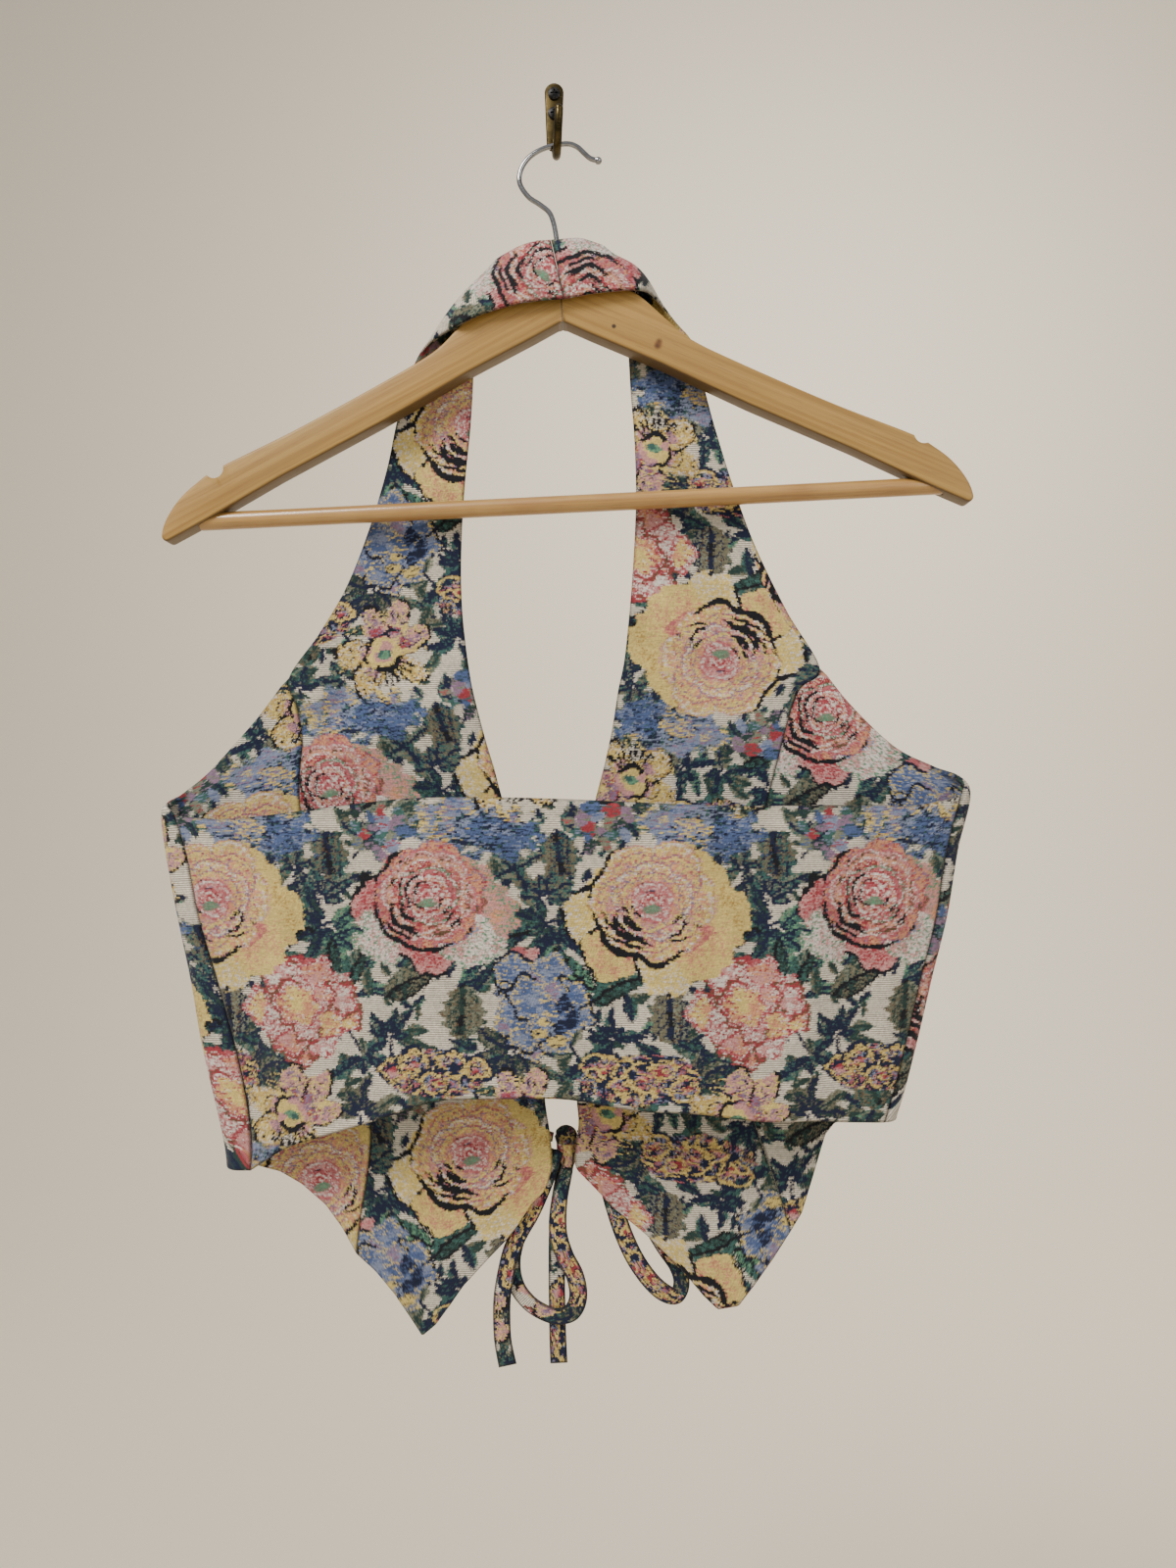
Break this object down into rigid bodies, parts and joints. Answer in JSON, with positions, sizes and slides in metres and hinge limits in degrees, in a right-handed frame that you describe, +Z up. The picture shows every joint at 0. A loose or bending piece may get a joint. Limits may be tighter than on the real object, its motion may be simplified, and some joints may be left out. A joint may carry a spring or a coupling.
{
  "type": "halter waistcoat on a hanger and wall hook",
  "caption": "Backless floral tapestry halter waistcoat with a wide back band and a tied front, hung by its neckband on a wooden hanger from a small wall hook.",
  "frame": {"origin": "middle of the wall hook's flat back face, where it meets the wall", "axes": "+Z up, +Y into the wall, -Y towards the room; the garment's back is on the -Y side"},
  "size_m": [0.4418, 0.0481, 0.7153],
  "materials": {
    "tapestry": "matte woven jacquard, cream ribbed ground with roses, small blue flowers and leaves",
    "hanger_wood": "pale satin wood with fine long grain",
    "bar_varnished": "golden varnished round bar",
    "wire_chrome": "bright plated wire",
    "hook_brass": "dull antique brass",
    "screw_black": "blackened cross-head screws"
  },
  "bodies": {
    "root": {"wall_hook": "hook_brass", "wall_screw_upper": "screw_black", "wall_screw_lower": "screw_black", "hanger_arm_left": "hanger_wood", "hanger_arm_right": "hanger_wood", "hanger_bar": "bar_varnished", "hanger_hook_wire": "wire_chrome", "left_centre_front_shell": "tapestry", "left_centre_front_lining": "tapestry", "left_side_front_shell": "tapestry", "left_side_front_lining": "tapestry", "right_centre_front_shell": "tapestry", "right_centre_front_lining": "tapestry", "right_side_front_shell": "tapestry", "right_side_front_lining": "tapestry", "back_band": "tapestry", "tie_knot": "tapestry", "tie_loop_left": "tapestry", "tie_loop_right": "tapestry", "tie_end_left": "tapestry", "tie_end_right": "tapestry", "tie_root_left": "tapestry", "tie_root_right": "tapestry"}
  },
  "joints": []
}
